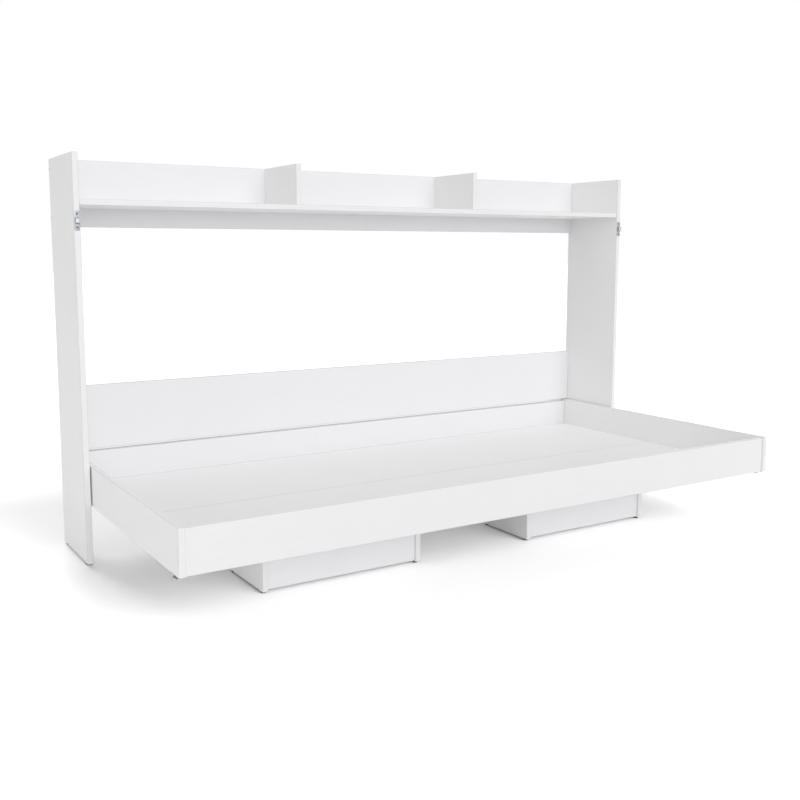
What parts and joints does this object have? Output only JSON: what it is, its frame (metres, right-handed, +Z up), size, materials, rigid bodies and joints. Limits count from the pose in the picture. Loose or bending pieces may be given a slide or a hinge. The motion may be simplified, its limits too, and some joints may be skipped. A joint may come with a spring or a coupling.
{
  "type": "folding bed",
  "caption": "White wall bed: a shallow mattress tray on board supports that folds up between tall uprights under a divided shelf, held by slide bolts.",
  "frame": {"origin": "on the floor, in the middle of the rectangle that the open bed covers", "axes": "+X along the bed to the right as seen from the room, +Y towards the wall, +Z up"},
  "size_m": [1.982, 0.949, 1.122],
  "materials": {
    "white_board": "chipboard faced and edged in white melamine, satin with a fine grain",
    "zinc_steel": "bright zinc plate",
    "beech": "bare fluted dowel",
    "nylon": "moulded, satin",
    "black_plastic": "moulded, satin"
  },
  "bodies": {
    "frame": {"back_board_screws": "zinc_steel", "divider_screws": "zinc_steel", "keep_screws": "zinc_steel", "left_divider": "white_board", "right_divider": "white_board", "left_keep": "zinc_steel", "right_keep": "zinc_steel", "left_pivot": "zinc_steel", "right_pivot": "zinc_steel", "left_upright": "white_board", "right_upright": "white_board", "lower_back_panel": "white_board", "lower_panel_cam_locks": "zinc_steel", "lower_panel_dowels": "beech", "shelf": "white_board", "shelf_cam_locks": "zinc_steel", "stop_strip": "white_board", "gap_lath": "white_board", "upper_back_board": "white_board", "upright_glides": "black_plastic"},
    "bed": {"base_dowels": "beech", "front_base_panel": "white_board", "rear_base_panel": "white_board", "front_rail": "white_board", "rear_rail": "white_board", "latch_screws": "zinc_steel", "left_end_board": "white_board", "right_end_board": "white_board", "left_latch": "zinc_steel", "right_latch": "zinc_steel", "left_pivot_bush": "nylon", "right_pivot_bush": "nylon", "left_support_inner_side": "white_board", "left_support_outer_side": "white_board", "left_support_panel": "white_board", "right_support_inner_side": "white_board", "right_support_outer_side": "white_board", "right_support_panel": "white_board", "rail_cam_locks": "zinc_steel", "rail_dowels": "beech", "support_dowels": "beech", "support_glides": "black_plastic"},
    "left_bolt": {"left_bolt": "zinc_steel"},
    "right_bolt": {"right_bolt": "zinc_steel"}
  },
  "joints": [
    {"name": "bed_fold", "type": "hinge", "parent": "frame", "child": "bed", "pos_m": [0, 0.2745, 0.226], "axis": [-1, 0, 0], "range_deg": [0, 90]},
    {"name": "left_bolt_slide", "type": "slide", "parent": "bed", "child": "left_bolt", "axis": [-1, 0, 0], "range_m": [0, 0.014]},
    {"name": "right_bolt_slide", "type": "slide", "parent": "bed", "child": "right_bolt", "axis": [1, 0, 0], "range_m": [0, 0.014]}
  ]
}
